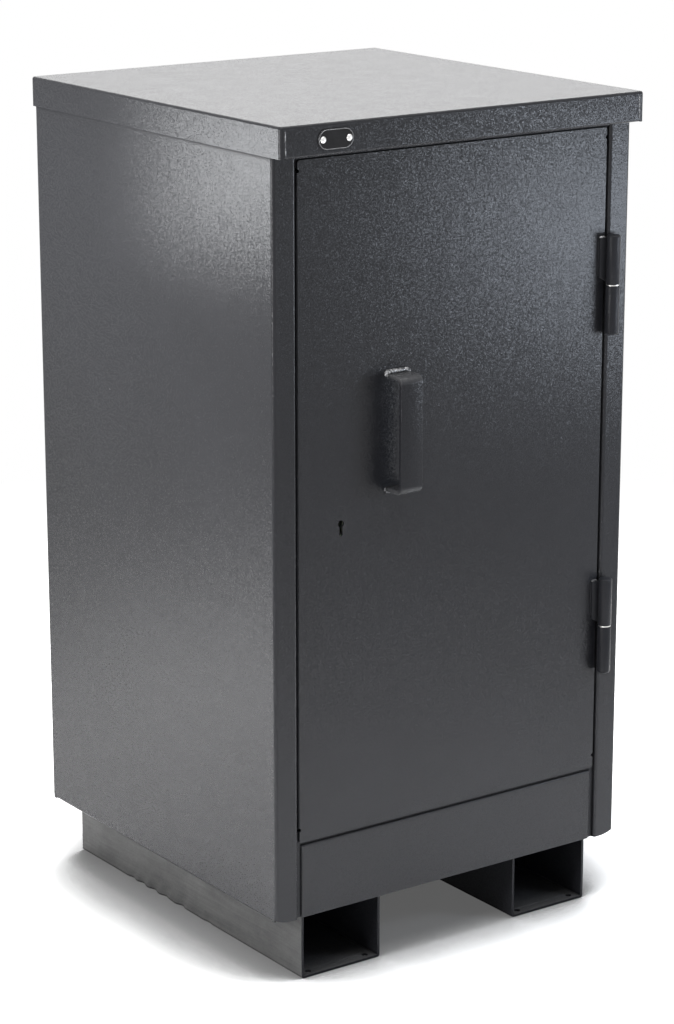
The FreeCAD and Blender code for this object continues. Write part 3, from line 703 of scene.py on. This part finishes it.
def weld_hinge(place, door_base, frame_base, millimetres):
    """The beads along a hinge's leaves; its height in millimetres makes each hinge's beads its own."""
    leaf_top = door_base + knuckle_length - leaf_end_inset
    leaf_foot = frame_base - knuckle_length + leaf_end_inset
    side_x, side_y = door_leaf_edge - 0.0002, door_face_y - 0.0004
    top_y, top_z = door_face_y - 0.0008, leaf_top + 0.0002
    frame_x, frame_y, frame_z = frame_leaf_edge + 0.0003, stile_face_y - 0.0005, leaf_foot - 0.0003
    add_beads(f"{place}_hinge_door_side_weld", [
        [(side_x, side_y, door_base + leaf_toe + 0.002), (side_x, side_y, leaf_top - 0.001)],
    ], hinge_bead_radius, "door", seed=11 + millimetres, material="hinge_coat")
    add_beads(f"{place}_hinge_door_top_weld", [
        [(door_leaf_edge + 0.0005, top_y, top_z), (joggle_x - 0.002, top_y, top_z)],
    ], hinge_top_bead_radius, "door", seed=13 + millimetres)
    add_beads(f"{place}_hinge_frame_weld", [
        [(frame_x, frame_y, frame_base - leaf_toe - 0.002), (frame_x, frame_y, leaf_foot + 0.002)],
        [(frame_leaf_edge - 0.001, frame_y, frame_z), (hinge_x + 0.004, frame_y, frame_z)],
    ], hinge_bead_radius, "carcass", seed=31 + millimetres)


def make_hinges():
    """Both hinges, with their weld beads."""
    for place, seam in hinge_seams.items():
        door_base = seam + seam_half_gap
        frame_base = seam - seam_half_gap
        make_hinge_halves(place, door_base, frame_base)
        weld_hinge(place, door_base, frame_base, round(seam * 1000))


def rounded_section(half_width, half_height, radius, steps):
    """Points round a rectangle with rounded corners."""
    points = []
    for corner, (sx, sy) in enumerate(((1, 1), (-1, 1), (-1, -1), (1, -1))):
        for i in range(steps + 1):
            t = math.radians(90 * corner + 90 * i / steps)
            points.append((sx * (half_width - radius) + radius * math.cos(t),
                           sy * (half_height - radius) + radius * math.sin(t)))
    return points


def handle_line():
    """The middle line of the handle's bar, from its foot in the door to its head."""
    half = handle_thickness / 2
    bend = handle_bend - half
    bend_y = handle_front_y + half + bend
    foot = handle_foot + half
    head = handle_head - half
    sunk_y = door_face_y + 0.0002
    line = [Vector((0, sunk_y, foot))]
    for centre_z, start, end in ((foot + bend, 270, 180), (head - bend, 180, 90)):
        for i in range(handle_bend_steps + 1):
            t = math.radians(start + (end - start) * i / handle_bend_steps)
            line.append(Vector((0, bend_y + bend * math.cos(t), centre_z + bend * math.sin(t))))
    line.append(Vector((0, sunk_y, head)))
    return line


def make_handle():
    """The bent flat bar with eased edges."""
    line = handle_line()
    section = rounded_section(handle_width / 2, handle_thickness / 2, handle_edge_round, steps=3)
    middle_x = handle_left + handle_width / 2
    rings = []
    for i, place in enumerate(line):
        along = (line[min(i + 1, len(line) - 1)] - line[max(i - 1, 0)]).normalized()
        inward = Vector((1, 0, 0)).cross(along)
        rings.append([
            Vector((middle_x + across, place.y, place.z)) + inward * out for across, out in section])
    add_piece("door_handle_eased", sewn(rings), "handle_coat", "door", ["door_handle"])


def weld_handle():
    """A rough bead round each end of the handle, along paths of (x, z)."""
    left, right, foot, head = handle_left, handle_right, handle_foot, handle_head
    foot_y = door_face_y - 0.0008
    top_y = foot_y - 0.0011
    round_top = ((left - 0.0002, head - 0.004), (left - 0.0002, head - 0.0005),
                 (left + 0.0016, head + 0.0014), (right - 0.0016, head + 0.0014),
                 (right + 0.0002, head - 0.0005), (right + 0.0002, head - 0.004))
    round_foot = ((right + 0.0004, foot + 0.004), (right + 0.0004, foot + 0.0005),
                  (right - 0.001, foot - 0.0006), (left + 0.001, foot - 0.0006),
                  (left - 0.0004, foot + 0.0005), (left - 0.0004, foot + 0.0045))
    add_beads("handle_top_weld", [[(x, top_y, z) for x, z in round_top]], handle_top_bead_radius,
              "door", seed=51, pitch=handle_top_bead_pitch)
    add_beads("handle_foot_weld", [[(x, foot_y, z) for x, z in round_foot]], handle_foot_bead_radius,
              "door", seed=53)


def hoop(path, radius, sides):
    """A closed round wire through the points of a flat path that faces the front."""
    rings = []
    count = len(path)
    back = Vector((0, 1, 0))
    for i, place in enumerate(path):
        along = (path[(i + 1) % count] - path[i - 1]).normalized()
        rings.append(ring(place, along.cross(back), back, radius, sides))
    points, faces = sewn(rings, capped=False)
    last = (count - 1) * sides
    for j in range(sides):
        k = (j + 1) % sides
        faces.append((last + j, last + k, k, j))
    return points, faces


def make_tag_rim():
    """The bright raised line just inside the key tag's edge."""
    low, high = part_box("key_tag")
    radius = (high.z - low.z) / 2 - tag_rim_inset
    middle_z = (low.z + high.z) / 2
    steps = 16
    path = []
    for centre_x, start in ((high.x - tag_rim_inset - radius, -90), (low.x + tag_rim_inset + radius, 90)):
        for i in range(steps + 1):
            t = math.radians(start + 180 * i / steps)
            path.append(Vector((centre_x + radius * math.cos(t), low.y, middle_z + radius * math.sin(t))))
    add_piece("key_tag_rim", hoop(path, tag_rim_radius, sides=8), "tag_rim", "carcass")


def make_rivets():
    """Blind rivets with domed heads, a dimple round the broken mandrel, and a set tail."""
    low, high = box("key_tag")
    middle_z = to_micron((low.z + high.z) / 2)
    head = 0.00375
    tail = [(0.0046, 0.0), (0.0046, 0.0022), (0.0040, 0.0029), (0.0030, 0.0031), (0.0021, 0.0028),
            (0.0021, 0.002), (0.0, 0.002), (-0.0012, 0.002)]
    dome = [(-0.0012, head - 0.0002), (-0.0014, head), (-0.0017, head - 0.0001),
            (-0.0023, head - 0.0008), (-0.0027, head - 0.0016), (-0.00292, head - 0.0023)]
    dimple = [(-0.0030, 0.00125), (-0.00285, 0.00105), (-0.0023, 0.00095), (-0.0023, 0.0007),
              (-0.0026, 0.0006), (-0.0027, 0.0)]
    form = merged(*[
        turned(tail + dome + dimple, (to_micron(x), cap_front_y, middle_z), (0, 1, 0), sides=32)
        for x in (low.x + rivet_end_inset, high.x - rivet_end_inset)])
    add_piece("key_tag_rivets_domed", form, "rivet_metal", "carcass", ["key_tag_rivets"])


def stitches(start, end, length, gap):
    """Short runs, a gap apart, from start to end."""
    start, end = Vector(start), Vector(end)
    total = (end - start).length
    along = (end - start) / total
    runs = []
    at = 0.0
    while at + length <= total + 1e-6:
        runs.append([start + along * at, start + along * (at + length)])
        at += length + gap
    return runs


def make_frame_welds():
    """Stitch welds under the shelf supports and where the skids meet the floor."""
    paths = []
    front = shelf_low.y + 0.02
    back = shelf_high.y - 0.02
    for foot in support_feet:
        z = foot - 0.0004
        for x in (-side_inside + 0.0002, side_inside - 0.0002):
            paths += stitches((x, front, z), (x, back, z), support_stitch, support_stitch_gap)
    add_beads("support_welds", paths, support_bead_radius, "carcass", seed=81)
    paths = []
    front = skid_front_y + 0.015
    back = skid_back_y - 0.02
    outer = skid_outer + 0.0004
    inner = skid_outer - skid_width - 0.0004
    z = floor_underside - 0.0008
    for x in (-outer, -inner, inner, outer):
        paths += stitches((x, front, z), (x, back, z), skid_stitch, skid_stitch_gap)
    add_beads("skid_welds", paths, skid_bead_radius, "carcass", seed=83)


def dented(y, z):
    """How far the left skid's outer wall is knocked in at a place; each groove leans and has a lip."""
    depth = 0.0
    for start, height, most in skid_dents:
        middle = start - dent_lean * z
        fading = max(0.0, 1.0 - z / height) ** 1.5
        groove = (y - middle) / (dent_half_width + dent_widening * z)
        lip = (y - middle - 2 * dent_lip_half_width) / dent_lip_half_width
        depth += most * math.exp(-groove * groove) * fading
        depth -= dent_lip_share * most * math.exp(-lip * lip) * fading
    return depth


def make_skids():
    """The skids again, cut finely enough for the knocks that fork tines leave, weaker on the right."""
    outer_wall_x = skid_outer - 0.012
    cuts = [((0, skid_front_y + skid_slice * i, 0), (0, 1, 0)) for i in range(1, skid_slices_along + 1)]
    cuts += [((0, 0, skid_slice * i), (0, 0, 1)) for i in range(1, skid_slices_up + 1)]
    touching = 0.00001
    for side, sign in (("left", -1), ("right", 1)):
        node = side + "_skid"
        form = bmesh.new()
        form.from_mesh(frame["nodes"][node].data)
        bmesh.ops.remove_doubles(form, verts=form.verts, dist=touching)
        for place, normal in cuts:
            bmesh.ops.bisect_plane(
                form, geom=form.verts[:] + form.edges[:] + form.faces[:], dist=touching,
                plane_co=place, plane_no=normal)
        for vertex in form.verts:
            x, y, z = vertex.co
            if abs(x) < outer_wall_x:
                continue
            inward = dented(y, z) if side == "left" else right_skid_share * dented(-y, z)
            swell = skid_swell * math.sin(y * 61.0 + sign) * math.sin(z * 38.0)
            vertex.co.x += -sign * (inward + swell)
        mesh = bpy.data.meshes.new(node + "_knocked")
        form.to_mesh(mesh)
        form.free()
        mesh.polygons.foreach_set("use_smooth", [True] * len(mesh.polygons))
        mesh.set_sharp_from_angle(angle=math.radians(32))
        place_piece(node + "_knocked", mesh, "skid_coat", "carcass", [node])


def make_spot_welds():
    """The dished marks of spot welds along the stiffeners' feet."""
    profile = [(-0.0001, 0.0), (0.00002, 0.0), (0.00005, 0.0010), (0.00022, 0.0018),
               (0.00034, 0.0023), (0.00024, 0.0028), (-0.0001, 0.0030)]
    first_x = to_micron(stiffener_low.x + spot_end_inset)
    marks = []
    for seam in hinge_seams.values():
        for side in (-1, 1):
            z = seam + side * (stiffener_half_height - stiffener_foot / 2 + 0.0005)
            marks += [
                turned(profile, (first_x + spot_pitch * i, panel_inside_y + stiffener_sheet, z),
                       (0, 1, 0), sides=20)
                for i in range(spot_count)]
    add_piece("stiffener_spot_welds", merged(*marks), "powder_coat", "door")


def chamfered_nut(x, z):
    """A six-sided nut, its corners eased at both ends."""
    rings = []
    for y, reach in ((nut_back_y, nut_corner * 0.985), (nut_back_y + nut_chamfer * 0.4, nut_corner),
                     (nut_back_y + nut_thickness - nut_chamfer, nut_corner),
                     (nut_back_y + nut_thickness, nut_corner - nut_chamfer * 1.5)):
        rings.append([Vector((x + reach * math.cos(math.radians(60 * i)), y,
                              z + reach * math.sin(math.radians(60 * i)))) for i in range(6)])
    return sewn(rings)


def stud_end(x, z):
    """The threaded end of a stud past its nut."""
    profile = [(0.0, 0.0)]
    for i in range(thread_turns):
        at = nut_thickness + 0.0001 + thread_pitch * i
        profile += [(at, stud_radius + thread_root), (at + thread_pitch / 2, stud_radius + thread_crest)]
    profile += [(nut_thickness + 0.0021, stud_radius - 0.0003), (nut_thickness + 0.0022, 0.0)]
    return turned(profile, (x, nut_back_y, z), (0, 1, 0), sides=24)


def make_lock_nuts():
    """Chamfered nuts on the lock's studs, and the studs' cut threads past them."""
    nuts = add_piece("lock_nuts_chamfered", merged(*[chamfered_nut(x, z) for x, z in stud_places]),
                     "zinc_plate", "door", ["lock_nuts"], smooth=False)
    round_edges(nuts, nut_edge_round, segments=1, angle=35.0)
    add_piece("lock_stud_threads", merged(*[stud_end(x, z) for x, z in stud_places]),
              "zinc_plate", "door")


def make_cap_seams():
    """The ground weld down each corner of the lid's flange."""
    paths = []
    for side in (-1, 1):
        x = side * (cap_half_width - cap_seam_inset)
        for y in (cap_front_y + 0.0004, cap_back_y - 0.0004):
            paths.append([(x, y, cap_foot + 0.003), (x + 0.0002, y, cap_top - 0.02),
                          (x - 0.0003, y, cap_top - 0.0045)])
    add_beads("cap_corner_seams", paths, cap_seam_radius, "carcass", seed=71)


def make_camera():
    """The camera, placed where the photograph was taken from."""
    data = bpy.data.cameras.new("PhotoCamera")
    data.lens = camera_lens
    data.sensor_width = sensor_long_side
    data.clip_start = camera_nearest
    data.clip_end = camera_furthest
    camera = bpy.data.objects.new("PhotoCamera", data)
    bpy.context.scene.collection.objects.link(camera)
    camera.location = camera_place
    forward = Vector((
        -math.sin(camera_azimuth) * math.cos(camera_elevation),
        math.cos(camera_azimuth) * math.cos(camera_elevation),
        -math.sin(camera_elevation)))
    camera.rotation_mode = "QUATERNION"
    camera.rotation_quaternion = forward.to_track_quat("-Z", "Y")
    bpy.context.scene.camera = camera


def make_lamp(name, place, aim, size, radiance, colour):
    """A flat soft lamp; radiance is what its face shows."""
    data = bpy.data.lights.new(name, "AREA")
    data.shape = "RECTANGLE"
    width, height = size
    data.size = width
    data.size_y = height
    data.energy = radiance * math.pi * width * height
    data.color = colour
    lamp = bpy.data.objects.new(name, data)
    bpy.context.scene.collection.objects.link(lamp)
    lamp.location = place
    lamp.rotation_mode = "QUATERNION"
    lamp.rotation_quaternion = (Vector(aim) - Vector(place)).to_track_quat("-Z", "Y")
    lamp.visible_camera = False


def make_world():
    """White to camera, glossy and transmission rays, and a plain level of light to the rest."""
    world = bpy.data.worlds.new("Studio")
    bpy.context.scene.world = world
    world.use_nodes = True
    world.node_tree.nodes.clear()
    g = Nodes(world.node_tree)
    lit, seen = (
        g.add("ShaderNodeBackground", {}, {
            "Color": (1.0, 1.0, 1.0, 1.0), "Strength": strength}).outputs[0]
        for strength in (world_lit, 1.0))
    g.add("ShaderNodeOutputWorld", {}, {"Surface": g.mixed(g.seen_by_eye(), lit, seen)})


def floor_material():
    """Pale grey to the light, brighter than white to the eye, with painted shadow and a faint painted glow
    near the cabinet, and white far off.
    """
    material = bpy.data.materials.new("PaleFloor")
    material.use_nodes = True
    material.node_tree.nodes.clear()
    g = Nodes(material.node_tree)
    seen = g.seen_by_eye()
    # painted shadow: the floor is darker where the cabinet closes off its surroundings
    overexposed_with_painted_shadow = g.span(g.open_share(shadow_reach, 12), *shadow_from_open_share, *shadow_to_level,
                         curve="SMOOTHSTEP")
    matt = g.add("ShaderNodeBsdfDiffuse", {}, {
        "Color": g.span(seen, 0.0, 1.0, floor_lit, overexposed_with_painted_shadow)}).outputs[0]
    white = g.add("ShaderNodeEmission", {}, {"Strength": 1.0}).outputs[0]
    place = g.add("ShaderNodeTexCoord").outputs["Object"]
    distance = g.vector("LENGTH", place, result="Value")
    # near the cabinet the floor glows faintly white: painted light that lifts its shadow
    far = g.span(distance, *floor_fades_between, near_floor_glow)
    g.add("ShaderNodeOutputMaterial", {}, {"Surface": g.mixed(g.product(far, seen), matt, white)})
    return material


def make_floor():
    """A pale disc under the cabinet, seen nearly white, with the cabinet's shadow on it, deepened by
    painted shadow.
    """
    mesh = bpy.data.meshes.new("Floor")
    rim = [(floor_radius * math.cos(math.radians(a)), floor_radius * math.sin(math.radians(a)), -floor_drop)
           for a in range(0, 360, 6)]
    mesh.from_pydata(rim, [], [list(range(len(rim)))])
    floor = bpy.data.objects.new("Floor", mesh)
    bpy.context.scene.collection.objects.link(floor)
    mesh.materials.append(floor_material())


make_camera()
make_world()
for lamp in lamps:
    make_lamp(*lamp)
make_floor()
dress_nodes()
make_hinges()
make_handle()
weld_handle()
make_rivets()
make_tag_rim()
make_cap_seams()
make_frame_welds()
make_skids()
make_spot_welds()
make_lock_nuts()

bpy.context.scene.view_settings.view_transform = "Standard"
